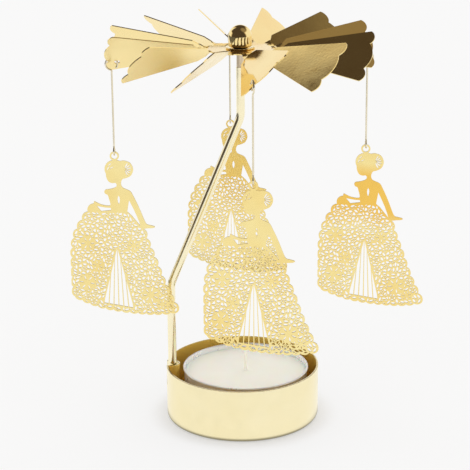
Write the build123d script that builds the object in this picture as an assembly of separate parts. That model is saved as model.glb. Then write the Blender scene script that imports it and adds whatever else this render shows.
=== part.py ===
from build123d import *
import os
from math import cos, radians, sin, sqrt

# Spinning tea-light carousel: a drawn cup holds the candle, a bent rod rises from the cup's wall
# to a needle on the axis, and a twelve-bladed fan with four hanging lace figures turns on it.
# Millimetres. Z is the axis, the cup stands on Z = 0, the viewer is on the -Y side, the rod on -X.

# Fits
run_gap = 0.05          # turning clearance, per side
seat_gap = 0.02         # pressed and resting seats
hang_gap = 0.15         # loose play of a figure on its hook

# Candle cup
cup_room = 4.0          # from the tea light's rim to the outside of the cup
cup_h = 16.0
cup_wall = 0.5
cup_edge_r = 1.4        # rounded lower edge
strap_h = 4.8           # strip of wall that is pressed in around the rod
strap_slit = 0.5
strap_slit_l = 9.0      # the slit runs on past the rod, so that the strip bends in freely

# Bent rod and its needle
rod_d = 2.5
rod_low_z = 41.3        # height of the lower bend
rod_tip = 14.5          # upright length above the upper bend
rod_bend_r = 8.0
sleeve_d = 2.2
sleeve_h = 4.31
sleeve_gap = 0.45       # from the sleeve up to the fan's eyelet
needle_d = 1.0
needle_seat = 6.0       # depth of the needle's seat in the rod

# Fan
hub_z = 112.3           # middle of the sheet
hub_r = 9.2
sheet = 0.3
blade_count = 12
blade_az = 10.7         # azimuth of the first blade
blade_twist = 42.5
blade_u = 37.0          # outer corner, measured along the blade
blade_half_w = 8.6
notch_v = 4.3           # notches between the three lobes
notch_rise = 0.4        # how far notches and lobes stand out past the corner
lobe_mid_rise = 1.95
lobe_side_rise = 1.3
neck_w = 2.6
neck_start = 9.9        # the neck twists from here
neck_end = 12.4         # to here
shoulder_u = 1.4        # the blade's shoulder, along and across
shoulder_v = 1.2

# Knob stack
knob_r = 3.4
knob_side = 3.05        # height of the knob's dome above its flat foot
knob_foot = 0.5         # rounding of the foot's edge
dish_r = 4.2
dish_flat = 0.38        # flat seat around the bore; the rim rises outside it
dish_rise = 0.5
eyelet_d = 2.4
eyelet_wall = 0.35
eyelet_flange_r = 1.9
eyelet_in = 2.45        # how far the eyelet reaches into the knob
bearing_h = 1.2
bearing_in = 3.4        # bearing's seat above the knob's foot

# Hangers
wire_d = 0.55
top_eye_r = 1.7         # centre line of the loop through the blade
top_eye_drop = 0.6      # loop centre below the sheet
top_eye_in = 0.75       # loop centre inside the notch
hook_hole_d = 1.7
low_eye_r = 1.1         # centre line of the loop through the figure
hanger_drop = 26.6      # from the upper loop's centre to the lowest point of the lower loop

# Lace figures
figure_t = 0.35
figure_hole_d = 1.6
figure_ring_w = 0.55
figure_h = 48.94        # from the hanging hole to the lowest scallop

# Tea light
tea_r = 19.0
tea_h = 14.8
tea_wall = 0.25
tea_shift = 1.0         # the candle stands off centre, away from the rod
tea_bead = 0.35         # rolled rim, how far it stands out
tea_bead_h = 0.45
wax_drop = 1.6
wick_d = 1.0
wick_out = 6.0

# Sizes that follow
cup_r = tea_r + cup_room
strap_z = cup_h - strap_h
rod_r = rod_d / 2
rod_x = -(cup_r - cup_wall - rod_r - run_gap)
wire_r = wire_d / 2
eyelet_r = eyelet_d / 2
eyelet_z = hub_z - sheet / 2 - seat_gap - eyelet_wall
sleeve_z = eyelet_z - sleeve_gap - sleeve_h
rod_top_z = sleeve_z - seat_gap
rod_high_z = rod_top_z - rod_tip
notch_u = blade_u + notch_rise
bore_r = eyelet_r + seat_gap
dish_seat_r = bore_r + dish_flat
hub_top = hub_z + sheet / 2
knob_low_z = hub_top + sheet + seat_gap
knob_z = knob_low_z + knob_side
bearing_z = knob_low_z + bearing_in
needle_tip_z = bearing_z + bearing_h / 2 - run_gap


def on_axis(profile):
    """A turned piece from points (r, z)."""
    return revolve(make_face(Plane.XZ * Polyline(*profile, close=True)), Axis.Z)


def small_round(r):
    """A round so small that twelve flats serve for it."""
    return RegularPolygon(r, 12)


def slot_shape(r, reach):
    """A rod-sized round with straight sides that run out through the cup's wall."""
    return Pos(rod_x, 0) * Circle(r) + Pos(rod_x - reach / 2, 0) * Rectangle(reach, 2 * r)


def base_cup():
    inner_r = cup_r - cup_wall
    edge_in = cup_edge_r - cup_wall
    profile = [(0, cup_wall), (0, 0)]
    for a in (0, 45, 90):
        out = cup_edge_r * sin(radians(a))
        up = cup_edge_r * (1 - cos(radians(a)))
        profile.append((cup_r - cup_edge_r + out, up))
    profile += [(cup_r, cup_h), (inner_r, cup_h), (inner_r, cup_edge_r), (inner_r - edge_in, cup_wall)]
    cup = on_axis(profile)
    # One slit in the wall, and the strip above it pressed in as a channel for the rod.
    channel_r = rod_r + run_gap
    strap_r = channel_r + cup_wall
    reach = cup_r + rod_x + 1
    channel = slot_shape(channel_r, reach)
    strap = (slot_shape(strap_r, reach) - channel) & Circle(cup_r)
    slit = Pos(rod_x - reach / 2, 0, strap_z - strap_slit / 2) * Box(reach, strap_slit_l, strap_slit)
    cup = cup - Pos(0, 0, strap_z) * extrude(channel, strap_h + 1) - slit
    return cup + Pos(0, 0, strap_z) * extrude(strap, strap_h)


def stand_rod():
    path = FilletPolyline(
        (rod_x, 0, cup_edge_r),
        (rod_x, 0, rod_low_z),
        (0, 0, rod_high_z),
        (0, 0, rod_top_z),
        radius=rod_bend_r,
    )
    rod = sweep(Plane(path @ 0, z_dir=path % 0) * Circle(rod_r), path=path)
    seat = Pos(0, 0, rod_top_z - needle_seat / 2) * Cylinder(needle_d / 2 + seat_gap, needle_seat)
    return rod - seat


def needle_sleeve():
    hole_r = needle_d / 2 + seat_gap
    top = sleeve_z + sleeve_h
    return on_axis([(hole_r, sleeve_z), (sleeve_d / 2, sleeve_z), (sleeve_d / 2, top), (hole_r, top)])


def pivot_needle():
    low = rod_top_z - needle_seat + seat_gap
    r = needle_d / 2
    return on_axis([(0, low), (r, low), (r, needle_tip_z - 2 * r), (0, needle_tip_z)])


def blade_face(with_hole):
    slope = (blade_half_w - neck_w / 2) / (blade_u - neck_end)
    rise_u = neck_end + shoulder_u
    rise_v = neck_w / 2 + shoulder_v + slope * shoulder_u
    side = [(neck_end, neck_w / 2), (rise_u, rise_v), (blade_u, blade_half_w)]
    mirror_side = [(u, -v) for u, v in reversed(side)]
    lobe_u = blade_u + lobe_side_rise
    lobe_v = (blade_half_w + notch_v) / 2
    edges = [
        Polyline(*side),
        ThreePointArc(side[2], (lobe_u, lobe_v), (notch_u, notch_v)),
        ThreePointArc((notch_u, notch_v), (blade_u + lobe_mid_rise, 0), (notch_u, -notch_v)),
        ThreePointArc((notch_u, -notch_v), (lobe_u, -lobe_v), mirror_side[0]),
        Polyline(*mirror_side),
        Line(mirror_side[2], side[0]),
    ]
    face = make_face(Curve() + edges)
    if with_hole:
        face = face - Pos(hole_u, -notch_v) * small_round(hook_hole_d / 2)
    return face


def neck_corners(u, twist):
    across = Vector(0, cos(radians(twist)), sin(radians(twist))) * (neck_w / 2)
    up = Vector(0, -sin(radians(twist)), cos(radians(twist))) * (sheet / 2)
    at = Vector(u, 0, 0)
    return [at - across - up, at + across - up, at + across + up, at - across + up]


def neck():
    """The strip between hub and blade, twisted by a fold from corner to corner."""
    hub = neck_corners(neck_start, 0)
    tip = neck_corners(neck_end, blade_twist)
    outlines = [hub, tip]
    for k in range(4):
        a, b, c, d = hub[k - 1], hub[k], tip[k], tip[k - 1]
        outlines += [(a, b, c), (a, c, d)] if k < 2 else [(a, b, d), (b, c, d)]
    return Solid(Shell([Face(Wire.make_polygon(corners)) for corners in outlines]))


def fan_rotor():
    turns = [blade_az + k * 360 / blade_count for k in range(blade_count)]
    tab = Pos(neck_start / 2, 0) * Rectangle(neck_start, neck_w)
    flat = Circle(hub_r) + [Rot(Z=a) * tab for a in turns] - Circle(bore_r)
    fan = extrude(flat, sheet / 2, both=True)
    strip = neck()
    for k, a in enumerate(turns):
        hooked = k % (blade_count // 4) == 0
        blade = Rot(X=blade_twist) * extrude(blade_face(hooked), sheet / 2, both=True)
        fan = fan + Rot(Z=a) * (strip + blade)
    return Pos(0, 0, hub_z) * fan


def dish_washer():
    low = hub_top + seat_gap / 2
    return on_axis([
        (bore_r, low),
        (dish_seat_r, low),
        (dish_r, low + dish_rise),
        (dish_seat_r, low + sheet),
        (bore_r, low + sheet),
    ])


def hub_eyelet():
    inner_r = eyelet_r - eyelet_wall
    top = knob_low_z + eyelet_in
    return on_axis([
        (inner_r, eyelet_z),
        (eyelet_flange_r, eyelet_z),
        (eyelet_flange_r, eyelet_z + eyelet_wall),
        (eyelet_r, eyelet_z + eyelet_wall),
        (eyelet_r, top),
        (inner_r, top),
    ])


def ball_knob():
    """A turned knob: a dome on straight sides, with a bore below."""
    bore_top = bearing_z + bearing_h + seat_gap
    foot_z = knob_low_z + dish_rise / 2
    profile = [(0, bore_top), (bore_r, bore_top), (bore_r, knob_low_z), (dish_seat_r, knob_low_z)]
    profile += [(knob_r - knob_foot, foot_z), (knob_r, foot_z + knob_foot)]
    for a in range(0, 91, 18):
        profile.append((knob_r * cos(radians(a)), knob_z + knob_r * sin(radians(a))))
    return on_axis(profile)


def bearing_cup():
    top = bearing_z + bearing_h
    return on_axis([
        (0, bearing_z + bearing_h / 2),
        (eyelet_r * 0.7, bearing_z),
        (eyelet_r, bearing_z),
        (eyelet_r, top),
        (0, top),
    ])


# Where each hook hangs: the loop stands in the blade's own upright plane at the lower notch.
eye_u = notch_u - top_eye_in
hole_u = eye_u - sqrt(top_eye_r ** 2 - top_eye_drop ** 2)
eye_side = -notch_v * cos(radians(blade_twist))
eye_z = hub_z - notch_v * sin(radians(blade_twist)) - top_eye_drop
low_eye_z = eye_z - hanger_drop
hole_z = low_eye_z + wire_r + hang_gap - figure_hole_d / 2


def hook_point(az):
    along = Vector(cos(radians(az)), sin(radians(az)), 0)
    side = Vector(-sin(radians(az)), cos(radians(az)), 0)
    return along, side, along * eye_u + side * eye_side


def bent(points):
    """Fine wire, bent in short straight lengths."""
    path = Polyline(*points)
    section = Plane(path @ 0, z_dir=path % 0) * RegularPolygon(wire_r, 6)
    return sweep(section, path=path, transition=Transition.RIGHT)


def ring_points(plane, r, first, last):
    """Bends of an open loop, an eighth of a turn apart."""
    out = []
    for t in range(first, last - 45, -45):
        out.append(plane.from_local_coords((r * cos(radians(t)), r * sin(radians(t)), 0)))
    return out


def hanger(az):
    along, side, at = hook_point(az)
    upper = Plane(at + Vector(0, 0, eye_z), x_dir=along, z_dir=-side)
    lower = Plane(at + Vector(0, 0, low_eye_z + low_eye_r), x_dir=(0, -1, 0), z_dir=(-1, 0, 0))
    hook = ring_points(upper, top_eye_r, 225, -90)
    eye = ring_points(lower, low_eye_r, 90, -180)
    return bent(hook + eye)


def scalloped(points, depth):
    """Arcs that bulge outwards from point to point."""
    return [SagittaArc(a, b, -depth) for a, b in zip(points, points[1:])]


def petal(x, z, length, width, angle):
    """A pointed opening, its broad end at the front."""
    outline = [(-length / 2, 0), (length / 2, width / 2), (length / 2, -width / 2)]
    return Pos(x, z) * Rot(Z=angle) * Polygon(*outline, align=None)


def leaf(x, z, length, angle):
    outline = [(-length / 2, 0), (0, length / 4), (length / 2, 0), (0, -length / 4)]
    return Pos(x, z) * Rot(Z=angle) * Polygon(*outline, align=None)


def blossom(x, z, r, petals, turn):
    out = []
    for k in range(petals):
        a = turn + 360 * k / petals
        at = (x + 0.6 * r * cos(radians(a)), z + 0.6 * r * sin(radians(a)))
        out.append(petal(*at, 0.8 * r, 0.75 * r, a))
    return out


def pleats():
    """Slots in the gown's open front, fanned between bars that meet its slanting sides."""
    apex_z, foot_z = -27.8, -45.8
    half, fan, bar, slope = 4.4, 0.5, 0.4, 0.19
    out = []
    for k in range(3):
        inner = k * half / 3 + bar / 2
        outer = (k + 1) * half / 3 - bar / 2
        slot = [(inner, 0), (outer, 0)]
        slot += [(x, (half - x) / (half - fan * x)) for x in (outer, inner)]
        for way in (-1, 1):
            corners = []
            for x, f in slot:
                foot = foot_z - slope * way * x
                corners.append((way * x * (1 - fan * f), foot + f * (apex_z - foot)))
            out.append(Polygon(*corners, align=None))
    return out


def openings():
    out = pleats()
    out += blossom(-8.4, -27.0, 3.2, 5, 18)
    out += blossom(-8.6, -38.2, 3.6, 5, 54)
    out += blossom(7.1, -32.0, 3.2, 5, 0)
    out += blossom(10.2, -42.2, 3.6, 5, 36)
    out += blossom(-2.2, -22.8, 2.6, 3, 90)
    out += blossom(4.4, -24.0, 2.6, 3, 30)
    out += [leaf(-4.4, -32.0, 3.4, 75), leaf(4.6, -37.4, 3.4, 105)]
    out += [leaf(0.9, -13.4, 3.4, 90), leaf(3.0, -4.0, 3.0, 80)]
    return out


def lady():
    """A lady in a ball gown, drawn flat below the hanging hole at the origin."""
    head = Pos(-0.5, -3.4) * small_round(2.4) + Pos(-0.5, -6.0) * small_round(2.1)
    bun = Pos(2.7, -4.1) * small_round(2.7)
    bodice = Polygon(
        (0.3, -6.0), (1.9, -5.4), (1.8, -9.4), (4.4, -10.5), (3.8, -13.2),
        (3.0, -17.6), (-1.1, -17.6), (-1.6, -14.8), (-2.2, -11.8), (-3.2, -11.0), (-2.8, -10.0),
        (0.3, -9.4), align=None,
    )
    arm_right = Polygon(
        (3.4, -10.1), (4.7, -10.7), (7.0, -15.8), (8.9, -20.8), (11.2, -21.3),
        (10.9, -21.9), (7.6, -21.8), (5.8, -16.4), (3.4, -12.0), align=None,
    )
    arm_left = Polygon(
        (-0.9, -15.0), (-1.0, -15.9), (-3.0, -15.7), (-5.0, -15.4), (-7.0, -14.8), (-6.5, -13.6),
        (-4.4, -14.5), (-2.6, -14.9), align=None,
    )
    left = [(-5.9, -14.8), (-12.0, -22.8), (-13.0, -32.6), (-13.2, -43.0)]
    hem = [left[-1], (-5.4, -46.2), (2.4, -47.9), (10.2, -48.6), (18.2, -48.0)]
    right = [hem[-1], (13.4, -39.0), (9.4, -27.0), (3.0, -16.8)]
    edge = scalloped(left, 0.8) + scalloped(hem, 0.6) + scalloped(right, 0.55)
    waist = Polyline(right[-1], (-1.1, -16.8), (-4.2, -17.8), left[0])
    gown = make_face(edge + [waist])
    return head + bun + bodice + arm_right + arm_left + gown - openings()


def figure_drawing():
    drawn = lady()
    hole_r = figure_hole_d / 2
    sized = scale(drawn, by=-figure_h / drawn.bounding_box().min.Y)
    return sized + small_round(hole_r + figure_ring_w) - small_round(hole_r)


def figure(drawing, az):
    at = hook_point(az)[2]
    plate = extrude(Plane.XZ * drawing, figure_t / 2, both=True)
    return Pos(at.X, at.Y, hole_z) * plate


def tealight():
    low = cup_wall + seat_gap
    top = low + tea_h
    wall_r = tea_r - tea_bead
    inner_r = wall_r - tea_wall
    wax_top = top - wax_drop
    wax_low = low + tea_wall + seat_gap
    wick_r = wick_d / 2
    can = on_axis([
        (0, low),
        (wall_r, low),
        (wall_r, top - tea_bead_h),
        (tea_r, top),
        (inner_r, top),
        (inner_r, low + tea_wall),
        (0, low + tea_wall),
    ])
    wax_r = inner_r - seat_gap
    hole_r = wick_r + seat_gap
    wax = on_axis([(hole_r, wax_low), (wax_r, wax_low), (wax_r, wax_top), (hole_r, wax_top)])
    wick = on_axis([(0, wax_low), (wick_r, wax_low), (wick_r, wax_top + wick_out), (0, wax_top + wick_out)])
    pieces = {"tealight_can": can, "tealight_wax": wax, "tealight_wick": wick}
    return {name: Pos(tea_shift, 0, 0) * shape for name, shape in pieces.items()}


nodes = {
    "base_cup": base_cup(),
    "stand_rod": stand_rod(),
    "needle_sleeve": needle_sleeve(),
    "pivot_needle": pivot_needle(),
    "fan_rotor": fan_rotor(),
    "dish_washer": dish_washer(),
    "hub_eyelet": hub_eyelet(),
    "ball_knob": ball_knob(),
    "bearing_cup": bearing_cup(),
}
drawing = figure_drawing()
for k, place in enumerate(("right", "back", "left", "front")):
    nodes["hanger_" + place] = hanger(blade_az + 90 * k)
    nodes["figure_" + place] = figure(drawing, blade_az + 90 * k)
nodes.update(tealight())

os.makedirs("parts", exist_ok=True)
for name, shape in nodes.items():
    shape.label = name
    export_step(shape, f"parts/{name}.step")
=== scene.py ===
# %% [markdown]
# # A spinning tea-light carousel
# Warm air from the candle turns the fan, and the fan carries four lace figures round on fine hooks.
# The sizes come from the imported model: every piece here sits in that same frame, in metres, so that
# the looks made here move with the joints of that model.

# %% Load the frame
import math
import bpy
import bmesh
import numpy as np
from mathutils import Matrix, Vector


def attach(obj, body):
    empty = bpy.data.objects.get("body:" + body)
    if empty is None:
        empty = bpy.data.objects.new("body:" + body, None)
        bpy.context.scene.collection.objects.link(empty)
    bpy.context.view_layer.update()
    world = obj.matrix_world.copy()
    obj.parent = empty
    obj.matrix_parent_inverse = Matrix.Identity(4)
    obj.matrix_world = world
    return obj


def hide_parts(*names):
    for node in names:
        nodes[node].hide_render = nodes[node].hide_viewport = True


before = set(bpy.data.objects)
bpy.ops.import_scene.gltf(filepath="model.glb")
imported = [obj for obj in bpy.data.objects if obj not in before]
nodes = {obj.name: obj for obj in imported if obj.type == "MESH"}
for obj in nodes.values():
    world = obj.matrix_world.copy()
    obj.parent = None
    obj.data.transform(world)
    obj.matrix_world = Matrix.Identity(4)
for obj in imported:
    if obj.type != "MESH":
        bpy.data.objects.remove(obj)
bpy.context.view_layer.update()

mm = 0.001

# %% [markdown]
# The camera comes first, because every later look is judged through it. It could be placed by eye.
# Here its place was worked out from points that can be recognised in the picture, such as the cup's
# rim and the hooks, because then each piece can be compared with the picture in its place. A long lens
# stands almost half a metre away and looks down a little.

# %% Camera
def aim(pitch, yaw, roll):
    """Axes of a camera that looks along +Y, turned by these angles in degrees."""
    p, y, r = math.radians(pitch), math.radians(yaw), math.radians(roll)
    ahead = Vector((math.sin(y) * math.cos(p), math.cos(y) * math.cos(p), -math.sin(p)))
    level = Vector((math.cos(y), -math.sin(y), 0))
    right = math.cos(r) * level + math.sin(r) * level.cross(ahead)
    return right, right.cross(ahead), -ahead


lens_mm, film_mm = 120.36, 36
pitch, yaw, roll = 17.169, -0.919, -0.453
camera_place = (0.005219, -0.44446, 0.19396)
lens_data = bpy.data.cameras.new("studio_camera")
lens_data.sensor_width = film_mm
lens_data.lens = lens_mm
camera = bpy.data.objects.new("studio_camera", lens_data)
bpy.context.scene.collection.objects.link(camera)
axes = Matrix(aim(pitch, yaw, roll)).transposed().to_4x4()
camera.matrix_world = Matrix.Translation(camera_place) @ axes
bpy.context.scene.camera = camera
bpy.context.scene.view_settings.view_transform = "Standard"
print("camera", tuple(round(c, 3) for c in camera.location), "lens", lens_data.lens)

# %% [markdown]
# Every finish is a small tree of shader nodes. It could be drawn by hand in the shader editor, but in a
# script a few helpers that add a node, join two nodes and grade a value keep each finish down to some
# lines that can be read. A soft step is used for every change of tone, since a real edge of light or
# tint is never razor sharp.

# %% Node helpers
def material_tree(name):
    made = bpy.data.materials.new(name)
    made.use_nodes = True
    return made, made.node_tree


def add(tree, kind, **values):
    """A node of this kind; a value named as an input goes to that socket, the rest are settings."""
    node = tree.nodes.new("ShaderNode" + kind)
    for key, value in values.items():
        socket = node.inputs.get(key.replace("_", " "))
        if socket is None:
            setattr(node, key, value)
        else:
            socket.default_value = value
    return node


def join(tree, source, output, target, entry):
    tree.links.new(source.outputs[output], target.inputs[entry])


def soft_step(tree, source, output, low, high, from_value=0.0, to_value=1.0):
    step = add(tree, "MapRange", interpolation_type="SMOOTHSTEP", From_Min=low, From_Max=high,
               To_Min=from_value, To_Max=to_value)
    join(tree, source, output, step, "Value")
    return step


def combine(tree, operation, first, first_output, second, second_output):
    node = add(tree, "Math", operation=operation)
    join(tree, first, first_output, node, 0)
    join(tree, second, second_output, node, 1)
    return node


print("helpers for shader nodes ready")

# %% [markdown]
# Tint, gloss and evenness of a real surface all wander a little. Pictures of surfaces could show that,
# but they need unwrapping and end at seams. Noise on the object's own coordinates has no seams and
# stays on the piece when it moves, so each of these helpers lets one noise move one property.

# %% Pattern helpers
def noise(tree, source, output, scale, detail, rough=0.5):
    made = add(tree, "TexNoise", Scale=scale, Detail=detail, Roughness=rough)
    join(tree, source, output, made, "Vector")
    return made


def two_tone(tree, deep, pale, low, high):
    """A ramp from the deep colour to the pale one between these places."""
    ramp = add(tree, "ValToRGB")
    for stop, at, colour in zip(ramp.color_ramp.elements, (low, high), (deep, pale)):
        stop.position = at
        stop.color = (*colour, 1)
    return ramp


def vary_roughness(tree, shader, source, least, most):
    spread = add(tree, "MapRange", From_Min=0.3, From_Max=0.7, To_Min=least, To_Max=most)
    join(tree, source, "Fac", spread, "Value")
    join(tree, spread, "Result", shader, "Roughness")


def uneven(tree, source, strength, size, under=None):
    """A bump from this noise, laid over the one under it."""
    bump = add(tree, "Bump", Strength=strength, Distance=size)
    join(tree, source, "Fac", bump, "Height")
    if under:
        join(tree, under, "Normal", bump, "Normal")
    return bump


print("helpers for patterns ready")

# %% [markdown]
# Plated sheet is never one even colour. The lacquer over the gold is a little thicker in places, so
# the tint drifts, and handling leaves parts of it duller. One flat colour would look like paint, so
# three noises do this: a broad one moves the tint, a middle one moves the roughness, and a fine one,
# drawn out along the rolling direction, gives a trace of grain. Sheet that was pressed also ripples
# slightly. On one figure a painted reflection of warm gold lies over the bodice: a band of height
# pushes the tint on to a third, richer colour.

# %% Gold plating
# Heights of the band over the bodice where a reflection of warm gold is painted into the tint.
painted_reflection_start, painted_reflection_end = (53 * mm, 67 * mm), (71 * mm, 81 * mm)
grain_scale, grain_size = 1400.0, 0.1 * mm
ripple_scale, ripple_size = 40.0, 1.0 * mm


# Painted reflection: a band of height over the bodice pushes the tint on to a warmer, richer gold.
def paint_bodice_reflection(tree, place, broad, tint, painted_reflection_tint):
    height = add(tree, "SeparateXYZ")
    join(tree, place, "Object", height, "Vector")
    above = soft_step(tree, height, "Z", *painted_reflection_start)
    below = soft_step(tree, height, "Z", *painted_reflection_end, 1.0, 0.0)
    band = combine(tree, "MULTIPLY", above, "Result", below, "Result")
    pushed = combine(tree, "ADD", broad, "Fac", band, "Value")
    halved = add(tree, "MapRange", From_Min=0.0, From_Max=2.0)
    join(tree, pushed, "Value", halved, "Value")
    join(tree, halved, "Result", tint, "Fac")
    for stop, at in zip(tint.color_ramp.elements, (0.16, 0.34)):
        stop.position = at
    tint.color_ramp.elements.new(0.66).color = (*painted_reflection_tint, 1)


def gold_plate(name, pale, deep, gloss, grain=0.04, drawn=(1, 1, 1), drift=60, ripple=0.0, metal=1.0,
               painted_reflection_tint=None):
    made, tree = material_tree(name)
    shader = tree.nodes["Principled BSDF"]
    shader.inputs["Metallic"].default_value = metal
    place = add(tree, "TexCoord")
    broad = noise(tree, place, "Object", drift, 3.0, 0.55)
    tint = two_tone(tree, deep, pale, 0.32, 0.68)
    if painted_reflection_tint:
        paint_bodice_reflection(tree, place, broad, tint, painted_reflection_tint)
    else:
        join(tree, broad, "Fac", tint, "Fac")
    join(tree, tint, "Color", shader, "Base Color")
    dull = noise(tree, place, "Object", drift * 5, 4.0, 0.6)
    vary_roughness(tree, shader, dull, gloss * 0.75, gloss * 1.35)
    rolled = add(tree, "Mapping", Scale=drawn)
    join(tree, place, "Object", rolled, "Vector")
    bump = uneven(tree, noise(tree, rolled, "Vector", grain_scale, 2.0), grain, grain_size)
    if ripple:
        bump = uneven(tree, noise(tree, place, "Object", ripple_scale, 1.0), ripple, ripple_size, bump)
    join(tree, bump, "Normal", shader, "Normal")
    return made


print("gold plating ready, bodice band from", painted_reflection_start[0], "to", painted_reflection_end[1])

# %% [markdown]
# The pieces share one plating but not one polish. The fan's upper side is bright and its underside
# satin. The cup's inside is satin and less metallic than its wall, and its deeper, warmer tone is
# painted shade of the inside. Rod and wires are paler, and the etched edges of the figures stay brown
# and matt. One material for all would be less work, but these small differences are what tells the pieces
# apart.

# %% Gold finishes
fan_gold = gold_plate("fan_gold", (0.93, 0.72, 0.30), (0.91, 0.66, 0.25), 0.09, grain=0.025, ripple=0.12)
fan_under_gold = gold_plate("fan_under_gold", (0.97, 0.80, 0.40), (0.96, 0.76, 0.34), 0.21, grain=0.005,
                            drift=15)
figure_gold = gold_plate("figure_gold", (0.94, 0.80, 0.38), (0.92, 0.72, 0.28), 0.17, grain=0.05)
figure_gold_painted_reflection = gold_plate("figure_gold_painted_reflection", (0.93, 0.77, 0.34), (0.91, 0.69, 0.25), 0.17, grain=0.05,
                              painted_reflection_tint=(0.90, 0.57, 0.12))
etched_edge = gold_plate("etched_edge", (0.58, 0.41, 0.14), (0.50, 0.34, 0.10), 0.40, grain=0.02)
cup_gold = gold_plate("cup_gold", (0.95, 0.85, 0.55), (0.93, 0.82, 0.50), 0.20, grain=0.05, drawn=(1, 1, 8))
# Cup inside: satin and less metallic, with painted shade in its deeper, warmer tone.
cup_inside_gold_painted_shade = gold_plate("cup_inside_gold_painted_shade", (1.0, 0.72, 0.17), (0.93, 0.60, 0.10), 0.22, grain=0.04,
                             drawn=(1, 1, 8), metal=0.45)
rod_gold = gold_plate("rod_gold", (0.97, 0.89, 0.64), (0.95, 0.86, 0.58), 0.14, grain=0.04)
knob_gold = gold_plate("knob_gold", (0.95, 0.77, 0.38), (0.93, 0.73, 0.33), 0.05, grain=0.02)
wire_gold = gold_plate("wire_gold", (0.86, 0.79, 0.62), (0.78, 0.70, 0.52), 0.20, grain=0.06)
print("gold finishes made")

# %% [markdown]
# The needle's sleeve is bare steel, and the candle's can is thin drawn aluminium. Both show fine lines
# round the axis from drawing and turning. They could have a material of their own, but the plating
# above only needs other colours and a noise that is squeezed hard along Z. The steel's warm tan colour
# is a painted reflection of the gold round it, not the steel's own.

# %% Bare metals
def drawn_metal(name, pale, deep, gloss, metal=1.0):
    return gold_plate(name, pale, deep, gloss, grain=0.01, drawn=(0.15, 0.15, 3), drift=25, metal=metal)


# Warm tan steel: a painted reflection of the surrounding gold.
steel_painted_gold_reflection = drawn_metal("steel_painted_gold_reflection", (0.80, 0.68, 0.50), (0.74, 0.60, 0.42), 0.30)
can_aluminium = drawn_metal("can_aluminium", (0.92, 0.92, 0.92), (0.87, 0.87, 0.88), 0.30, metal=0.6)
print("bare metals made")

# %% [markdown]
# Paraffin lets light in and scatters it, which is what makes a candle look soft. A plain pale colour
# would look like plaster, so subsurface scattering does it here. A broad noise clouds the colour and a
# finer one leaves the set surface slightly uneven. The cotton wick is the same with a coarser surface.

# %% Wax and cotton
def soft_stuff(name, pale, deep, rough, scale, bump_size, depth):
    made, tree = material_tree(name)
    shader = tree.nodes["Principled BSDF"]
    shader.inputs["Subsurface Weight"].default_value = depth
    shader.inputs["Subsurface Scale"].default_value = 2 * mm
    place = add(tree, "TexCoord")
    cloud = noise(tree, place, "Object", scale, 3.0)
    tint = two_tone(tree, deep, pale, 0.35, 0.65)
    join(tree, cloud, "Fac", tint, "Fac")
    join(tree, tint, "Color", shader, "Base Color")
    vary_roughness(tree, shader, cloud, rough * 0.8, rough * 1.2)
    bump = uneven(tree, noise(tree, place, "Object", scale * 3, 2.0), 0.15, bump_size)
    join(tree, bump, "Normal", shader, "Normal")
    return made


candle_wax = soft_stuff("candle_wax", (0.98, 0.94, 0.85), (0.96, 0.92, 0.81), 0.45, 120.0, 0.4 * mm, 0.35)
wick_cotton = soft_stuff("wick_cotton", (0.97, 0.94, 0.85), (0.93, 0.88, 0.76), 0.8, 900.0, 0.2 * mm, 0.1)
print("wax and cotton made")

# %% [markdown]
# Finished pieces all go through one door: the mesh is merged and its normals are set outwards, it gets
# its material, it rides the body that carries it, and it stands for the plain solids it replaces. Each
# piece could do this by itself, but one function can't forget a step.

# %% Finishing helper
def finish_piece(name, bm, finish, body, stands_for, smooth=True):
    bmesh.ops.remove_doubles(bm, verts=bm.verts[:], dist=1e-7)
    bmesh.ops.recalc_face_normals(bm, faces=bm.faces[:])
    for face in bm.faces:
        face.smooth = smooth
    mesh = bpy.data.meshes.new(name)
    bm.to_mesh(mesh)
    bm.free()
    mesh.materials.append(finish)
    piece = bpy.data.objects.new(name, mesh)
    bpy.context.scene.collection.objects.link(piece)
    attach(piece, body)
    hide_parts(*stands_for)
    print(name, len(mesh.polygons), "faces")
    return piece


def sharp_edges(piece, degrees):
    """Keeps edges crisp where two faces meet at more than this angle."""
    piece.data.set_sharp_from_angle(angle=math.radians(degrees))


print("helper for finished pieces ready")

# %% [markdown]
# Knob, dish, cup and candle are turned or drawn, so each is a profile spun about an axis. Cylinders and
# spheres could be stacked, but their seams would show in polished metal. The profile is a chain of
# vertices in the XZ plane; spin sweeps it once round and merges the seam.

# %% Turning helpers
def turned(profile, steps=96, at=(0, 0)):
    bm = bmesh.new()
    points = [bm.verts.new((r * mm, 0, z * mm)) for r, z in profile]
    edges = [bm.edges.new(pair) for pair in zip(points, points[1:])]
    bmesh.ops.spin(bm, geom=points + edges, axis=(0, 0, 1), cent=(0, 0, 0), angle=2 * math.pi,
                   steps=steps, use_merge=True)
    bmesh.ops.remove_doubles(bm, verts=bm.verts[:], dist=1e-6)
    bmesh.ops.translate(bm, verts=bm.verts[:], vec=(at[0] * mm, at[1] * mm, 0))
    return bm


def round_corner(centre, r, first, last, steps=6):
    """Profile points round a corner, from one angle to another in degrees."""
    turns = [math.radians(first + (last - first) * k / steps) for k in range(steps + 1)]
    return [(centre[0] + r * math.cos(t), centre[1] + r * math.sin(t)) for t in turns]


print("helpers for turned pieces ready")

# %% [markdown]
# The knob on top is turned from bar: a flat foot, a softened lower edge, straight sides and a round
# dome. A ball primitive would lack the straight sides, so it is one spun profile.

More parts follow.
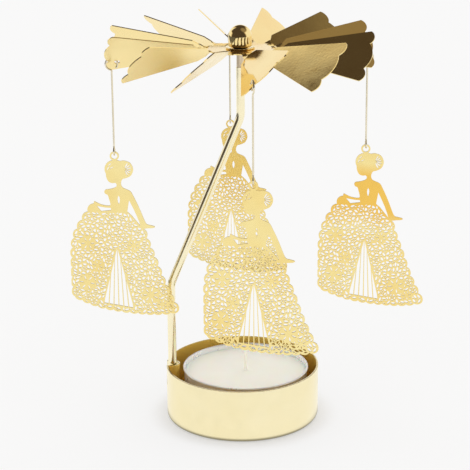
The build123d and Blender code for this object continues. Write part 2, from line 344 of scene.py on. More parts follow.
# %% Knob
seat_z, seat_r = 112.77, 1.6
knob_r, knob_edge_r, knob_edge_z, dome_z = 3.4, 0.5, 113.52, 115.82
knob_profile = [(0, seat_z), (seat_r, seat_z), (2.7, seat_z + 0.2)]
knob_profile += round_corner((knob_r - knob_edge_r, knob_edge_z), knob_edge_r, -50, 0, 5)
knob_profile += round_corner((0, dome_z), knob_r, 0, 90, 24)
knob_piece = finish_piece("knob", turned(knob_profile, 96), knob_gold, "rotor", ["ball_knob"])
sharp_edges(knob_piece, 60)

# %% [markdown]
# The knob sits in a thin pressed dish with a turned-up edge. It could be a disc with a bevel, but the
# edge has two different rounds, which a profile gives directly.

# %% Dish
dish_z, dish_bore_r = 112.46, 1.22
dish_profile = [(dish_bore_r, dish_z), (3.7, dish_z)] + round_corner((3.94, dish_z + 0.26), 0.26, -80, 0, 5)
dish_profile += round_corner((4.09, dish_z + 0.39), 0.11, 0, 130, 5)
dish_profile += [(3.6, seat_z + 0.09), (2.9, seat_z + 0.03), (2.1, seat_z), (dish_bore_r, seat_z - 0.01)]
dish_profile += [(dish_bore_r, dish_z)]
dish_piece = finish_piece("dish", turned(dish_profile, 72), knob_gold, "rotor", ["dish_washer"])
sharp_edges(dish_piece, 50)

# %% [markdown]
# The cup is deep-drawn from one disc: a flat floor, a rounded lower edge and a straight wall. The outer
# skin is spun, and Solidify will give the sheet its thickness inwards. Where the rod stands, the wall
# has one slit, and the strip above it is pressed in round the rod. A boolean cut would leave ragged
# faces there, so the wall is bisected along the slit's ends and the strip's lines instead.

# %% Cup skin
cup_r, cup_h, cup_edge_r = 23.0, 16.0, 1.4
strap_z, strap_r, slit, slit_half = 11.2, 1.8, 0.5, 4.5
skin = [(r, 0) for r in (0, 6, 12, 17, 20.5)]
skin += round_corner((cup_r - cup_edge_r, cup_edge_r), cup_edge_r, -80, 0, 6)
skin += [(cup_r, z) for z in (5, 8, strap_z - slit, strap_z, 13.6, 15.6, cup_h)]
cup = turned(skin, 128)


def mid(face):
    return face.calc_center_median() / mm


for y in [strap_r * k / 9 for k in range(-9, 10)] + [-slit_half, slit_half]:
    wall_faces = [f for f in cup.faces if mid(f).x < 1 - cup_r and mid(f).z > 9]
    parts = set(wall_faces) | {part for f in wall_faces for part in (*f.edges, *f.verts)}
    bmesh.ops.bisect_plane(cup, geom=list(parts), dist=1e-7, plane_co=(0, y * mm, 0), plane_no=(0, 1, 0))
print("cup skin of", len(cup.faces), "faces")

# %% [markdown]
# The faces of the slit are deleted, and the vertices of the strip above it are pushed in to a U that
# just clears the rod. Solidify and a small bevel on the rim come last as modifiers, because they then
# follow the pressed strip as well; the inside gets its own finish from Solidify's material offset.

# %% Cup
cup_sheet, rod_x = 0.5, -21.2
gap = [f for f in cup.faces if mid(f).x < 0 and abs(mid(f).y) < slit_half
       and strap_z - slit < mid(f).z < strap_z]
bmesh.ops.delete(cup, geom=gap, context="FACES")
strip = {v for f in cup.faces for v in f.verts
         if mid(f).x < 0 and abs(mid(f).y) < strap_r and mid(f).z > strap_z}
for v in strip:
    y = v.co.y / mm
    if abs(y) < strap_r - 1e-4:
        v.co.x = (rod_x + math.sqrt(strap_r ** 2 - y ** 2)) * mm
cup_piece = finish_piece("cup", cup, cup_gold, "stand", ["base_cup"])
sharp_edges(cup_piece, 45)
# Second material for the inside, whose deeper tone is painted shade.
cup_piece.data.materials.append(cup_inside_gold_painted_shade)
wall = cup_piece.modifiers.new("sheet", "SOLIDIFY")
wall.thickness = cup_sheet * mm
wall.offset = -1
wall.use_even_offset = True
wall.material_offset = 1
rim_round = cup_piece.modifiers.new("rim", "BEVEL")
rim_round.width = 0.14 * mm
rim_round.segments = 2
rim_round.limit_method = "ANGLE"
rim_round.angle_limit = math.radians(50)
print("slit of", len(gap), "faces, strip of", len(strip), "vertices pressed in")

# %% [markdown]
# Rod and hangers are bent wire. A curve with a round bevel would do, but its bends come from handles
# and not from a radius. So a circle is the section: it is pulled along the straight runs with extrude
# and carried round the bends with spin, which is how a bending tool does it.

# %% Wire helpers
def wire_start(r, at, towards, sides=16):
    bm = bmesh.new()
    turn = Vector((0, 0, 1)).rotation_difference(Vector(towards)).to_matrix().to_4x4()
    ring = bmesh.ops.create_circle(bm, cap_ends=False, segments=sides, radius=r * mm,
                                   matrix=Matrix.Translation(Vector(at) * mm) @ turn)
    edges = list({e for v in ring["verts"] for e in v.link_edges})
    bmesh.ops.edgeloop_fill(bm, edges=edges)
    return bm, edges


def pull(bm, edges, by):
    made = bmesh.ops.extrude_edge_only(bm, edges=edges)["geom"]
    moved = [v for v in made if isinstance(v, bmesh.types.BMVert)]
    bmesh.ops.translate(bm, verts=moved, vec=Vector(by) * mm)
    return [e for e in made if isinstance(e, bmesh.types.BMEdge) and all(v in moved for v in e.verts)]


def carry_round(bm, edges, centre, axis, degrees, steps):
    made = bmesh.ops.spin(bm, geom=edges, cent=Vector(centre) * mm, axis=axis,
                          angle=math.radians(degrees), steps=steps)["geom_last"]
    return [e for e in made if isinstance(e, bmesh.types.BMEdge)]


def wire_end(bm, edges):
    bmesh.ops.edgeloop_fill(bm, edges=edges)
    return bm


print("helpers for bent wire ready")

# %% [markdown]
# The rod holds everything up: it rises inside the cup's wall, leans in to the axis and ends upright
# under the fan. Lengths and angles of its runs could be given one by one, but then they have to agree.
# Here the lean follows from where the two bends stand, so only their places are given.

# %% Rod
rod_r, foot_z, low_z, high_z, top_z, bend_r = 1.25, 1.4, 41.3, 92.5, 107.0, 8.0
leaning = Vector((-rod_x, 0, high_z - low_z))
lean = math.degrees(math.atan2(leaning.x, leaning.z))
tuck = bend_r * math.tan(math.radians(lean / 2))
run = leaning.length - 2 * tuck
rod, end = wire_start(rod_r, (rod_x, 0, foot_z), (0, 0, 1), 28)
end = pull(rod, end, (0, 0, low_z - tuck - foot_z))
end = carry_round(rod, end, (rod_x + bend_r, 0, low_z - tuck), (0, 1, 0), lean, 10)
end = pull(rod, end, leaning.normalized() * run)
end = carry_round(rod, end, (-bend_r, 0, high_z + tuck), (0, 1, 0), -lean, 10)
end = pull(rod, end, (0, 0, top_z - high_z - tuck))
rod_piece = finish_piece("rod", wire_end(rod, end), rod_gold, "stand", ["stand_rod"])
sharp_edges(rod_piece, 50)
print("rod leans", round(lean, 2), "degrees over", round(run, 1), "mm")

# %% [markdown]
# Each hanger is a fine wire with a hook through the blade's hole and a small eye for the figure. The
# blades stand at quarter turns, so one function finds all four places. One hanger could be copied and
# turned, but the lower eye always faces the same way, because all four figures hang with their fronts
# to the viewer.

# %% Places of the hangers
quarter = {"right": 10.7, "back": 100.7, "left": 190.7, "front": 280.7}
eye_u, eye_side = 36.65, -3.170


def hook_place(az):
    """Along and across the blade that points this way, and where its hook hangs."""
    a = math.radians(az)
    along = Vector((math.cos(a), math.sin(a), 0))
    side = Vector((-math.sin(a), math.cos(a), 0))
    return along, side, along * eye_u + side * eye_side


print({place: tuple(round(c, 1) for c in hook_place(az)[2]) for place, az in quarter.items()})

# %% [markdown]
# The wire itself runs from the hook's tip round the hook, back under its middle through a counter-bend,
# straight down, and through a second counter-bend into the eye. The bends could be set by eye, but the
# wire would then have kinks. A counter-bend that touches both the round that it leaves and the straight
# has only one radius and one place, and a function works them out.

# %% Hangers
wire_r, hook_r, eye_r = 0.275, 1.7, 1.1
eye_z, low_eye_z = 108.795, 82.195
tip_at, hook_turn, eye_turn, counter = math.radians(225), 300, 275, 75


def counter_bend(r):
    """Radius of the counter-bend next to a round of this radius, and how far up or down it stands."""
    share = math.cos(math.radians(counter))
    bend = r * share / (1 - share)
    return bend, (r + bend) * math.sin(math.radians(counter))


up = Vector((0, 0, 1))
hook_bend, hook_drop = counter_bend(hook_r)
eye_bend, eye_drop = counter_bend(eye_r)
for place, az in quarter.items():
    along, side, at = hook_place(az)
    top, low = at + eye_z * up, at + (low_eye_z + eye_r) * up
    tip = top + hook_r * (math.cos(tip_at) * along + math.sin(tip_at) * up)
    wire, end = wire_start(wire_r, tip, side.cross(tip - top).normalized(), 12)
    end = carry_round(wire, end, top, side, hook_turn, 30)
    end = carry_round(wire, end, top + hook_bend * along - hook_drop * up, side, -counter, 8)
    end = pull(wire, end, (low.z + eye_drop - top.z + hook_drop) * up)
    end = carry_round(wire, end, low + Vector((0, -eye_bend, eye_drop)), (1, 0, 0), -counter, 8)
    end = carry_round(wire, end, low, (1, 0, 0), eye_turn, 28)
    finish_piece("hanger_wire_" + place, wire_end(wire, end), wire_gold, place + "_hanger",
                 ["hanger_" + place])

# %% [markdown]
# The candle is a separate little pot. Its can is pressed from thin aluminium with a rolled rim, the wax
# was poured and sank slightly towards the middle as it set, and the wick is a short stiff cord. All
# three are round, so three profiles are spun about the pot's own axis, and the rim's roll and the wax's
# sunken top are part of them.

# %% Tea light
pot_at, can_r, can_floor, can_sheet, can_edge_r = (1.0, 0.0), 18.65, 0.52, 0.25, 0.5
rim_r, rim_z, wax_r, wax_foot, wick_r, wick_hole_r = 0.32, 15.0, 18.36, 0.80, 0.5, 0.54
can_profile = [(0, can_floor), (17.9, can_floor)]
can_profile += round_corner((can_r - can_edge_r, can_floor + can_edge_r), can_edge_r, -90, 0, 4)
can_profile += [(can_r, 8.0), (can_r, 14.7)] + round_corner((can_r + 0.03, rim_z), rim_r, -80, 170, 10)
inner_r, inner_floor = can_r - can_sheet, can_floor + can_sheet
can_profile += [(inner_r, 14.6), (inner_r, 1.0), (18.0, inner_floor), (0, inner_floor)]
can_piece = finish_piece("candle_can", turned(can_profile, 96, pot_at), can_aluminium, "candle",
                         ["tealight_can"])
sharp_edges(can_piece, 60)
wax_profile = [(wick_hole_r, wax_foot), (wax_r, wax_foot), (wax_r, 13.65), (18.15, 13.50), (17.4, 13.42)]
wax_profile += [(14, 13.38), (8, 13.34), (3, 13.34), (1.4, 13.5), (wick_hole_r, 13.70)]
wax_profile += [(wick_hole_r, wax_foot)]
wax_piece = finish_piece("wax", turned(wax_profile, 96, pot_at), candle_wax, "candle",
                         ["tealight_wax"])
sharp_edges(wax_piece, 60)
wick_profile = [(0, 0.82), (wick_r, 0.82), (wick_r, 13.9), (0.46, 15.5), (0.44, 19.2)]
wick_profile += [(0.33, 19.6), (0, 19.7)]
finish_piece("wick", turned(wick_profile, 16, pot_at), wick_cotton, "candle",
             ["tealight_wick"])

# %% [markdown]
# The four figures are etched out of thin brass sheet, so each is a flat drawing with openings. It could
# be carved from a solid with hundreds of cuts, but a flat curve suits a drawing: Blender fills it,
# takes loops that lie inside the outline as holes, and extrudes the sheet's thickness. Two helpers draw
# its lines: a smooth one through given points, and one with small bumps for the gown's scalloped edge.

# %% Drawn lines
def flowing(points, per=4):
    """A smooth line through these points."""
    p = np.array([points[0], *points, points[-1]], float)
    out = []
    for a, b, c, d in zip(p, p[1:], p[2:], p[3:]):
        for t in np.arange(per) / per:
            bend = (2 * a - 5 * b + 4 * c - d) * t ** 2 + (3 * b - a - 3 * c + d) * t ** 3
            out.append(0.5 * (2 * b + (c - a) * t + bend))
    return out + [p[-1]]


def scallops(points, width, depth, per=5):
    """Small bumps along a smooth line, on its left-hand side."""
    line = np.array(flowing(points, 12))
    along = np.concatenate([[0], np.cumsum(np.hypot(*np.diff(line, axis=0).T))])
    count = round(along[-1] / width)

    def spot(s):
        return np.array([np.interp(s, along, line[:, 0]), np.interp(s, along, line[:, 1])])

    out = []
    for k in np.arange(count * per) / per:
        s = k / count * along[-1]
        way = spot(s + 0.05) - spot(s - 0.05)
        out_of = np.array([-way[1], way[0]]) / np.hypot(*way)
        out.append(spot(s) + depth * abs(math.sin(math.pi * k)) ** 0.7 * out_of)
    return out


print("helpers for drawn lines ready")

# %% [markdown]
# The lady is a plain outline with a ring on top, drawn once round in millimetres from the hanging hole.
# Hair, arms and shoulders flow through a few points. Along the gown the edge runs in scallops, which
# are wider at the sides than at the hem. Every scallop could be drawn, but as a rule along a smooth
# line they stay even, and the gown can still be reshaped with a few points.

# %% Outline of a figure
ring_r = 1.35
hanging_ring = round_corner((0, 0), ring_r, 245, -65, 18)
bun_to_hand = [
    (0.9, -1.28), (1.6, -1.5), (2.7, -1.38), (4.5, -2.1), (5.35, -4.0), (4.7, -5.8), (3.3, -6.6),
    (2.15, -6.95), (1.7, -8.2), (2.05, -9.35), (3.1, -9.95), (4.4, -10.65), (5.35, -12.4), (6.4, -14.7),
    (7.3, -16.9), (8.2, -19.3), (8.9, -20.6), (10.0, -20.95), (11.15, -21.3), (11.2, -21.65),
    (10.4, -21.85), (9.0, -21.9), (7.9, -22.1)]
gown_right = [
    (7.9, -22.1), (8.6, -24.8), (9.6, -27.8), (10.9, -31.2), (12.2, -35.0), (13.6, -38.8),
    (15.1, -42.3), (16.5, -45.2), (17.75, -47.7)]
gown_hem = [
    (17.75, -47.7), (14.2, -48.3), (10.2, -48.45), (6.3, -48.2), (2.4, -47.75), (-1.5, -47.1),
    (-5.4, -46.2), (-9.4, -44.7), (-13.0, -43.0)]
gown_left = [
    (-13.0, -43.0), (-13.4, -37.8), (-13.25, -32.6), (-13.0, -27.6), (-12.0, -23.2), (-9.5, -18.6),
    (-6.5, -14.3)]
sleeve_to_hair = [
    (-6.5, -14.3), (-6.3, -13.6), (-5.6, -13.9), (-4.4, -14.5), (-3.0, -14.85), (-1.75, -14.9),
    (-1.6, -14.2), (-1.95, -12.8), (-2.3, -11.7), (-3.0, -11.3), (-3.25, -10.6), (-2.8, -10.05),
    (-2.0, -9.95), (-0.6, -9.65), (0.25, -9.2), (0.4, -8.5), (0.0, -8.05), (-0.9, -8.1), (-1.9, -7.6),
    (-2.5, -6.4), (-2.65, -5.2), (-2.95, -4.2), (-2.8, -3.0), (-2.1, -1.95), (-1.1, -1.35)]
sheet_corners = (-13.88, -48.9), (18.15, 2)
outline = hanging_ring + flowing(bun_to_hand)[1:-1]
for edge, width, depth in ((gown_right, 3.1, 0.75), (gown_hem, 2.4, 0.5), (gown_left, 3.1, 0.8)):
    outline += scallops(edge, width, depth, 9)
outline += flowing(sleeve_to_hair)[:-1]
outline = np.clip(np.array(outline), *sheet_corners)
print("outline of", len(outline), "points,", np.round(outline.min(0), 2), "to", np.round(outline.max(0), 2))

# %% [markdown]
# Lace is mostly holes, and thin bars have to be left between them. Each pair of openings could be
# tested against each other, which takes long for hundreds of them. So the sheet is kept as a fine grid
# of cells that are still free. An opening fits where all its cells are free, and cutting it uses up its
# cells and a bar's width round them.

# %% Lace sheet
def measure(cells, loop):
    """Which cells lie within the loop, and how far each one is from its line."""
    within = np.zeros(cells.shape[:-1], bool)
    gap = np.full(cells.shape[:-1], 99.0)
    x, z = cells[..., 0], cells[..., 1]
    for (ax, az), (bx, bz) in zip(loop, np.roll(loop, -1, axis=0)):
        dx, dz = bx - ax, bz - az
        t = np.clip(((x - ax) * dx + (z - az) * dz) / max(dx * dx + dz * dz, 1e-12), 0, 1)
        gap = np.minimum(gap, np.hypot(x - ax - t * dx, z - az - t * dz))
        if dz:
            within ^= ((az > z) != (bz > z)) & (x < dx * (z - az) / dz + ax)
    return within, gap


cell, sheet_edge, border = 0.08, 0.30, 0.2
corner = outline.min(0) - border
count = np.ceil((outline.max(0) + border - corner) / cell).astype(int)
cells = np.stack(np.meshgrid(*[np.arange(n) for n in count], indexing="ij"), -1) * cell + corner
inside, from_edge = measure(cells, outline)
free = inside & (from_edge > sheet_edge)
print("lace sheet of", free.shape, "cells,", int(free.sum()), "free")

# %% [markdown]
# Three helpers work on the sheet: one asks whether a loop still fits, one uses up its cells, and one
# cuts it out for good. Every cell of a loop could be tested, but its points, the places half-way
# between them and its middle are enough for openings as small as these. A fourth helper draws a disc.

# %% Cutting helpers
openings = []


def fits(loop):
    loop = np.asarray(loop)
    spots = np.vstack([loop, (loop + np.roll(loop, -1, axis=0)) / 2, loop.mean(0)])
    i, j = np.round((spots - corner) / cell).astype(int).T
    on_sheet = min(i.min(), j.min()) >= 0 and i.max() < count[0] and j.max() < count[1]
    return on_sheet and bool(free[i, j].all())


def use_up(loop, bar):
    loop = np.asarray(loop)
    a, b = np.clip(((loop.min(0) - bar - corner) / cell).astype(int), 0, None)
    c, d = ((loop.max(0) + bar - corner) / cell).astype(int) + 2
    within, gap = measure(cells[a:c, b:d], loop)
    free[a:c, b:d] &= ~(within | (gap < bar))


def cut_out(loop, bar):
    use_up(loop, bar)
    openings.append(np.asarray(loop))


def disc(x, z, r, points=24):
    return round_corner((x, z), r, 0, 360 - 360 / points, points - 1)


print("helpers for openings ready")

# %% [markdown]
# First come the openings with a fixed place: the hanging hole, the gaps beside the arms, strands in
# the hair, and the open front of the gown, which shows fanned pleats as long slots between thin bars.
# The slots could be drawn one by one; worked out from the fan's point, foot and width, their bars stay
# even. Above the waist the sheet is then closed, so that the bodice stays whole.

# %% Fixed openings
def placed(shape, x, z, angle):
    c, s = math.cos(math.radians(angle)), math.sin(math.radians(angle))
    return [(x + c * a - s * b, z + s * a + c * b) for a, b in shape]


def leaf(length, width):
    side = [(-0.25, 0.36), (0.05, 0.5), (0.3, 0.36)]
    upper = [(length * a, width * b) for a, b in side]
    lower = [(length * a, -width * b) for a, b in reversed(side)]
    return [(-length / 2, 0)] + upper + [(length / 2, 0)] + lower


def pleat_slots(apex=-27.8, foot=-45.8, half=4.4, fan=0.5, bar=0.3, slope=0.19):
    out = []
    for k in range(3):
        inner, outer = k * half / 3 + bar / 2, (k + 1) * half / 3 - bar / 2
        slot = [(inner, 0), (outer, 0)] + [(x, (half - x) / (half - fan * x)) for x in (outer, inner)]
        for way in (-1, 1):
            low = [foot - slope * way * x for x, f in slot]
            out.append([(way * x * (1 - fan * f), z + f * (apex - z)) for (x, f), z in zip(slot, low)])
    return out


hanging_hole_r, wide_bar, hair_bar = 0.88, 0.3, 0.1
beside_arms = [
    [(3.9, -13.3), (4.8, -15.2), (5.8, -17.5), (6.7, -19.9), (7.0, -21.1), (5.9, -19.7), (4.6, -18.0),
     (3.3, -16.8), (3.6, -15.0)],
    [(-5.6, -15.0), (-3.0, -15.5), (-1.5, -15.6), (-1.4, -16.3), (-4.3, -16.6)]]
for loop in beside_arms + pleat_slots() + [disc(0, 0, hanging_hole_r)]:
    cut_out(loop, wide_bar)
for turn in range(62, -64, -25):
    x, z = round_corner((2.75, -4.0), 1.25, turn, turn, 1)[0]
    cut_out(placed(leaf(1.9, 0.34), x, z, turn), hair_bar)
for x, z, turn in ((-1.5, -2.6, 40), (-0.9, -3.5, 30), (-2.0, -3.7, 62)):
    cut_out(placed(leaf(1.5, 0.26), x, z, turn), hair_bar)
cut_out(placed(leaf(2.6, 0.7), 0.9, -13.2, 90), hair_bar)
waist_z, hand_z = -16.9, -22.4
x, z = cells[..., 0], cells[..., 1]
inside_arm = x - 5.0 < (-16.6 - z) * 0.5
free &= (z < waist_z) & ((z < hand_z) | inside_arm)
print(len(openings), "fixed openings")

# %% [markdown]
# The gown's lace is made of blossoms, leaves and eyelets. A blossom is open, with two rings of petals
# cut out, or whole, with only slits between its petals. Places could be drawn at random, but those
# clump; an even scatter, the same at every run, fills the gown better.

# %% Lace motifs
lace_bar, blossom_border = 0.15, 0.02
gown_x, gown_z, gown_w, gown_h = -14, -49, 32.3, 33.0


def scatter(count):
    """Points spread evenly over the gown: digits of k turned round in base 2 and 3."""
    out = []
    for k in range(1, count + 1):
        spot = []
        for base in (2, 3):
            share, total, rest = 1.0, 0.0, k
            while rest:
                share /= base
                total += share * (rest % base)
                rest //= base
            spot.append(total)
        out.append((gown_x + gown_w * spot[0], gown_z + gown_h * spot[1]))
    return out


def petal(inner, outer, spread):
    half, middle = math.radians(spread / 2), (inner + outer) / 2
    side = [(inner, inner * half * 0.45), (middle, middle * half * 0.9)]
    tip = [(outer * math.cos(t * half), outer * math.sin(t * half)) for t in (-0.8, -0.35, 0.35, 0.8)]
    return [(a, -b) for a, b in side] + tip + side[::-1]


def blossom(x, z, r, petals, turn):
    pitch = 360 / petals
    for k in range(petals):
        outer_turn, inner_turn = turn + k * pitch, turn + (k + 0.5) * pitch
        cut_out(placed(petal(0.56 * r, r, pitch * 0.82), x, z, outer_turn), lace_bar)
        cut_out(placed(petal(0.17 * r, 0.43 * r, pitch * 0.68), x, z, inner_turn), lace_bar)
    use_up(disc(x, z, r * 0.98), blossom_border)


def full_blossom(x, z, r, petals, turn):
    """A blossom that stays whole: only slits between its petals are cut."""
    pitch = 360 / petals
    for k in range(petals):
        a, b = round_corner((x, z), 0.66 * r, turn + k * pitch, turn + k * pitch, 1)[0]
        cut_out(placed(leaf(0.62 * r, 0.15 * r), a, b, turn + k * pitch), lace_bar)
    use_up(disc(x, z, r), blossom_border)


print("lace motifs ready, bars of", lace_bar, "mm")

# %% [markdown]
# The gown gets a few blossoms of whole metal first, which shine as deeper spots. Then it is filled with
# open blossoms, leaves between them and small round eyelets in what is left. Each kind runs from large
# to small, because small ones laid first would leave no room for the large.

# %% Lace on the gown
whole_blossoms = (
    (-8.6, -26.4, 2.1), (9.6, -42.6, 2.5), (-9.2, -38.6, 2.4), (4.9, -27.2, 1.7), (-5.9, -33.4, 1.6),
    (13.0, -45.6, 1.5))
for k, (x, z, r) in enumerate(whole_blossoms):
    if fits(disc(x, z, r)):
        full_blossom(x, z, r, 6 + k % 2, 25 * k)
for r, petals, tries in ((1.7, 6, 420), (1.3, 5, 800), (1.0, 5, 1400)):
    for k, (x, z) in enumerate(scatter(tries)):
        if fits(disc(x, z, r * 1.04)) and fits(disc(x, z, r * 0.6, 12)):
            blossom(x, z, r, petals, k * 47)
for size, tries in ((1.5, 2400), (1.1, 3200), (0.8, 4400), (0.58, 5200)):
    for k, (x, z) in enumerate(scatter(tries)):
        turns = [placed(leaf(size, size * 0.42), x, z, k * 137.5 + turn) for turn in (0, 60, 120)]
        room = [loop for loop in turns if fits(loop)]
        if room:
            cut_out(room[0], lace_bar)
eyelet_bar = 0.14
for r, tries in ((0.20, 6000), (0.14, 7000)):
    for x, z in scatter(tries):
        if fits(disc(x, z, r, 6)):
            cut_out(disc(x, z, r, 6), eyelet_bar)
print(len(openings), "openings in the lace")

# %% [markdown]
# The drawing becomes a sheet of metal: one closed line per loop, filled on both sides and extruded. It
# is made a mesh first, because a curve's place would otherwise move its pattern too.

# %% Figure sheet
figure_sheet = 0.35
drawing = bpy.data.curves.new("figure_drawing", "CURVE")
drawing.dimensions = "2D"
drawing.fill_mode = "BOTH"
drawing.extrude = figure_sheet / 2 * mm
for loop in [outline] + openings:
    line = drawing.splines.new("POLY")
    line.points.add(len(loop) - 1)
    for point, (x, z) in zip(line.points, loop):
        point.co = (x * mm, z * mm, 0, 1)
    line.use_cyclic_u = True
holder = bpy.data.objects.new("figure_drawing", drawing)
flat_sheet = bpy.data.meshes.new_from_object(holder)
bpy.data.objects.remove(holder)
print("flat sheet of", len(flat_sheet.polygons), "faces")

# %% [markdown]
# The flat sheet is stood upright and moved to each hook. The etched edges stay matt and browner than
# the plated faces, which draws a fine dark line round every opening. Painted lines could do that too,
# but the edges are real faces here, and their normals tell them apart.

# %% Figures
figure_z = 81.82
for place, az in quarter.items():
    at = hook_place(az)[2]
    upright = Matrix.Rotation(math.pi / 2, 4, "X")
    stand_up = Matrix.Translation((at.x * mm, at.y * mm, figure_z * mm)) @ upright
    lady = bmesh.new()
    lady.from_mesh(flat_sheet)
    bmesh.ops.transform(lady, matrix=stand_up, verts=lady.verts[:])
    # The right figure carries a painted reflection of warm gold over its bodice.
    finish = figure_gold_painted_reflection if place == "right" else figure_gold
    figure = finish_piece("lace_figure_" + place, lady, finish, place + "_figure",
                          ["figure_" + place], smooth=False)
    figure.data.materials.append(etched_edge)
    for polygon in figure.data.polygons:
        polygon.material_index = int(abs(polygon.normal.y) < 0.5)
bpy.data.meshes.remove(flat_sheet)

# %% [markdown]
# The fan is stamped from one sheet, and each blade is then twisted at its narrow neck. The solid folds
# the neck once, where real sheet turns evenly. A new fan could be drawn, but its outline is already in
# the solid, so a merged copy is the start, and its necks are cut across with bisect_plane.

# %% Fan, ready to be cut
hub_z = 112.3
neck_start, neck_end, neck_half, cuts = 9.9, 12.4, 2, 8
fan = bmesh.new()
fan.from_mesh(nodes["fan_rotor"].data)
bmesh.ops.remove_doubles(fan, verts=fan.verts[:], dist=2e-6)
bmesh.ops.dissolve_limit(fan, angle_limit=math.radians(0.5), verts=fan.verts[:], edges=fan.edges[:])


def neck_spot(co, along, side):
    """Place of a point on one blade's neck: along it, across it and above the sheet's middle."""
    spot = co / mm
    return spot.dot(along), spot.dot(side), spot.z - hub_z


def cut_neck(along, side):
    for cut in range(1, cuts):
        u = neck_start + (neck_end - neck_start) * cut / cuts
        strip = []
        for f in fan.faces:
            face_u, face_side = neck_spot(f.calc_center_median(), along, side)[:2]
            if neck_start - 0.01 < face_u < neck_end + 0.01 and abs(face_side) < neck_half:
                strip.append(f)
        parts = set(strip) | {part for f in strip for part in (*f.edges, *f.verts)}
        bmesh.ops.bisect_plane(fan, geom=list(parts), dist=1e-7, plane_co=along * u * mm, plane_no=along)


print("merged fan of", len(fan.faces), "faces")

# %% [markdown]
# Every cut is then turned a little more than the one before, from flat at the hub to the blade's full
# twist. A point is first read off the folded neck, as a share across the sheet and a side of it, and is
# then laid on the evenly twisted one. A Simple Deform modifier twists too, but only a whole object.

# %% Twisted necks
fan_sheet, twist = 0.3, math.radians(42.5)


def twist_neck(along, side):
    for v in fan.verts:
        u, across, above = neck_spot(v.co, along, side)
        s = (u - neck_start) / (neck_end - neck_start)
        if 0.01 < s < 0.99 and abs(across) < neck_half:
            c, d = 1 - s + s * math.cos(twist), s * math.sin(twist)
            share = (across * c + above * d) / (c * c + d * d)
            skin_side = math.copysign(fan_sheet / 2, above * c - across * d)
            turn = twist * s * s * (3 - 2 * s)
            across = share * math.cos(turn) - skin_side * math.sin(turn)
            above = share * math.sin(turn) + skin_side * math.cos(turn)
            v.co = (along * u + side * across + Vector((0, 0, hub_z + above))) * mm


blade_count = 12
for k in range(blade_count):
    along, side = hook_place(quarter["right"] + 360 / blade_count * k)[:2]
    cut_neck(along, side)
    twist_neck(along, side)
print("fan of", len(fan.faces), "faces with", blade_count, "twisted necks")

# %% [markdown]
# Stamping and plating leave a slight rounding on all edges, which catches the light as a thin bright
# line, so the sharp edges get a small bevel. Smooth shading all over would bend the flat blades'
# reflections, so only the necks are smooth. The underside is satin and gets its own finish.

# %% Fan
edge_round = 0.04
crisp = [e for e in fan.edges if len(e.link_faces) == 2 and e.calc_face_angle() > math.radians(40)]
bmesh.ops.bevel(fan, geom=crisp, offset=edge_round * mm, offset_type="OFFSET", affect="EDGES", segments=2,
                profile=0.5, material=-1, clamp_overlap=True)
fan_piece = finish_piece("fan", fan, fan_gold, "rotor", ["fan_rotor"], smooth=False)
fan_piece.data.materials.append(fan_under_gold)
for polygon in fan_piece.data.polygons:
    reach = math.hypot(polygon.center.x, polygon.center.y) / mm
    polygon.use_smooth = neck_start < reach < neck_end
    polygon.material_index = int(polygon.normal.z < -0.3)

# %% [markdown]
# Needle, sleeve, eyelet and bearing are small and mostly hidden. They could be spun again, but their
# solids are already the right shape, so they keep them and only get their finish.

# %% Finishes for the remaining pieces
# Sleeve, needle and bearing get the steel with the painted gold reflection.
kept_solids = {"hub_eyelet": knob_gold, "needle_sleeve": steel_painted_gold_reflection, "pivot_needle": steel_painted_gold_reflection,
               "bearing_cup": steel_painted_gold_reflection}
for node, finish in kept_solids.items():
    nodes[node].data.materials.clear()
    nodes[node].data.materials.append(finish)
print("finishes set on", len(kept_solids), "solids")

# %% [markdown]
# The object stands on a white paper sweep. A curved backdrop could be built, but a floor that is large
# enough fills the picture by itself, because the camera looks down on it.

# %% Floor
floor_half = 4.0
floor_mesh = bpy.data.meshes.new("floor")
floor = bmesh.new()
bmesh.ops.create_grid(floor, x_segments=1, y_segments=1, size=floor_half)
floor.to_mesh(floor_mesh)
floor.free()
floor_piece = bpy.data.objects.new("floor", floor_mesh)
bpy.context.scene.collection.objects.link(floor_piece)
print("floor of", 2 * floor_half, "m")

# %% [markdown]
# The paper takes the object's soft shadow, and in mirror-like metal it shows as clean white. More light
# would whiten it too, but would bleach the gold, so rays from the camera and from metal see a paper
# that glows by itself. Two places are painted darker in what the metal sees: a painted contact shadow
# in the narrow gap under the cup, and a painted dark edge past the paper's left side, where a table
# would stand but none is built; it draws a thin dark line along the rod and the fine wires.

# %% Paper
paper, tree = material_tree("floor_paper")
shader = tree.nodes["Principled BSDF"]
shader.inputs["Roughness"].default_value = 0.9
shader.inputs["Base Color"].default_value = (0.90, 0.885, 0.87, 1)
spot = add(tree, "TexCoord")
apart = add(tree, "SeparateXYZ")
join(tree, spot, "Object", apart, "Vector")
reach = add(tree, "VectorMath", operation="LENGTH")
join(tree, spot, "Object", reach, 0)
path = add(tree, "LightPath")
cup_foot = 22.5 * mm
lifted = soft_step(tree, reach, "Value", cup_foot, 30 * mm, 0.40, 0.82)
lit = add(tree, "Emission", Color=(0.945, 0.945, 0.945, 1), Strength=1.0)
by_camera = combine(tree, "MULTIPLY", path, "Is Camera Ray", lifted, "Result")
seen = add(tree, "MixShader")
join(tree, by_camera, "Value", seen, "Fac")
join(tree, shader, "BSDF", seen, 1)
join(tree, lit, "Emission", seen, 2)
# Painted contact shadow: metal sees the paper dimmed to 0.30 just round the cup's foot.
under = soft_step(tree, reach, "Value", cup_foot, 25.5 * mm, 0.30, 1.0)
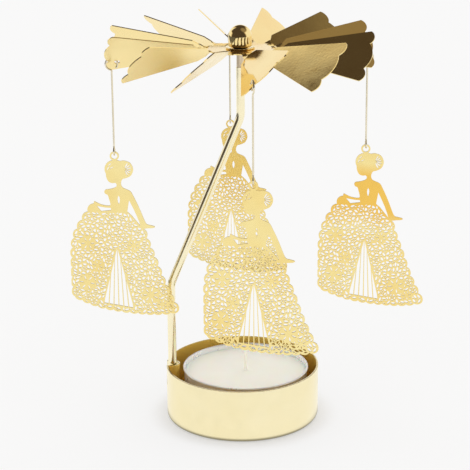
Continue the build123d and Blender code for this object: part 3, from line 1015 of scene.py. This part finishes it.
# Painted dark edge: past x = -0.56 m metal sees the paper at 0.14, while the camera and the light see plain
# paper.
painted_table_edge = soft_step(tree, apart, "X", -0.56, -0.50, 0.14, 1.0)
glow_with_painted_shade = combine(tree, "MULTIPLY", under, "Result", painted_table_edge, "Result")
white = add(tree, "Emission", Color=(1, 1, 1, 1))
join(tree, glow_with_painted_shade, "Value", white, "Strength")
mirrored = combine(tree, "MAXIMUM", path, "Is Glossy Ray", path, "Is Transmission Ray")
both = add(tree, "MixShader")
join(tree, mirrored, "Value", both, "Fac")
join(tree, seen, "Shader", both, 1)
join(tree, white, "Emission", both, 2)
join(tree, both, "Shader", tree.nodes["Material Output"], "Surface")
floor_mesh.materials.append(paper)
print("paper laid")

# %% [markdown]
# Polished metal shows whatever stands round it, so the reflections need a studio too. Panels could be
# set up round the object, but walls that are only a tone in the world cost nothing. It is a light tent
# that is open above and towards the camera: white behind and at the sides, dark overhead. The left
# wall's top edge slopes down towards the camera, which shades the blade at the front right from light
# to dark, and a dim card hangs overhead at the right.

# %% Tent walls
world = bpy.data.worlds.new("studio")
bpy.context.scene.world = world
world.use_nodes = True
tree = world.node_tree
tree.nodes.clear()
where = add(tree, "TexCoord")
split = add(tree, "SeparateXYZ")
join(tree, where, "Generated", split, "Vector")


def along_way(way):
    """How far a ray's direction runs along this way."""
    node = add(tree, "VectorMath", operation="DOT_PRODUCT")
    node.inputs[1].default_value = way
    join(tree, where, "Generated", node, 0)
    return node


at_left = soft_step(tree, split, "X", -0.55, -0.30, 1.0, 0.0)
left_height = soft_step(tree, along_way((-2.01, -2.22, 1.0)), "Value", 0.76, 0.82, 1.0, 0.0)
left = combine(tree, "MULTIPLY", at_left, "Result", left_height, "Result")
at_right = soft_step(tree, split, "X", 0.30, 0.55)
right_height = soft_step(tree, split, "Z", 0.55, 0.80, 1.0, 0.0)
right = combine(tree, "MULTIPLY", at_right, "Result", right_height, "Result")
not_front = soft_step(tree, split, "Y", -0.60, -0.30)
either = combine(tree, "MAXIMUM", left, "Value", right, "Value")
sides = combine(tree, "MULTIPLY", either, "Value", not_front, "Result")
behind = soft_step(tree, split, "Y", -0.15, 0.25)
back_height = soft_step(tree, split, "Z", 0.35, 0.49, 1.0, 0.0)
back = combine(tree, "MULTIPLY", behind, "Result", back_height, "Result")
standing = combine(tree, "MAXIMUM", sides, "Value", back, "Value")
card = soft_step(tree, along_way((0.45, -0.10, 0.89)), "Value", 0.88, 0.97, 0.0, 0.28)
walls = combine(tree, "MAXIMUM", standing, "Value", card, "Result")
print("tent walls set")

# %% [markdown]
# Only glossy rays see the tent, in tones that turn warm where they darken, as gold seen in gold does.
# All other rays get plain even white. Area lamps could light the object too, but they would show as
# bright squares in the metal, and even white lights it as softly as a real tent.

# %% Tent light
tent_tones = {0.22: (0.22, 0.18, 0.13), 0.55: (0.60, 0.49, 0.34)}
tone = add(tree, "ValToRGB")
tone.color_ramp.elements[0].color = (0.075, 0.058, 0.048, 1)
tone.color_ramp.elements[1].color = (1, 1, 1, 1)
for at, colour in tent_tones.items():
    tone.color_ramp.elements.new(at).color = (*colour, 1)
join(tree, walls, "Value", tone, "Fac")
tent = add(tree, "Background", Strength=1.0)
join(tree, tone, "Color", tent, "Color")
even = add(tree, "Background", Color=(1, 1, 1, 1), Strength=1.1)
path = add(tree, "LightPath")
pick = add(tree, "MixShader")
join(tree, path, "Is Glossy Ray", pick, "Fac")
join(tree, even, "Background", pick, 1)
join(tree, tent, "Background", pick, 2)
out = add(tree, "OutputWorld")
join(tree, pick, "Shader", out, "Surface")
print("tent light set")
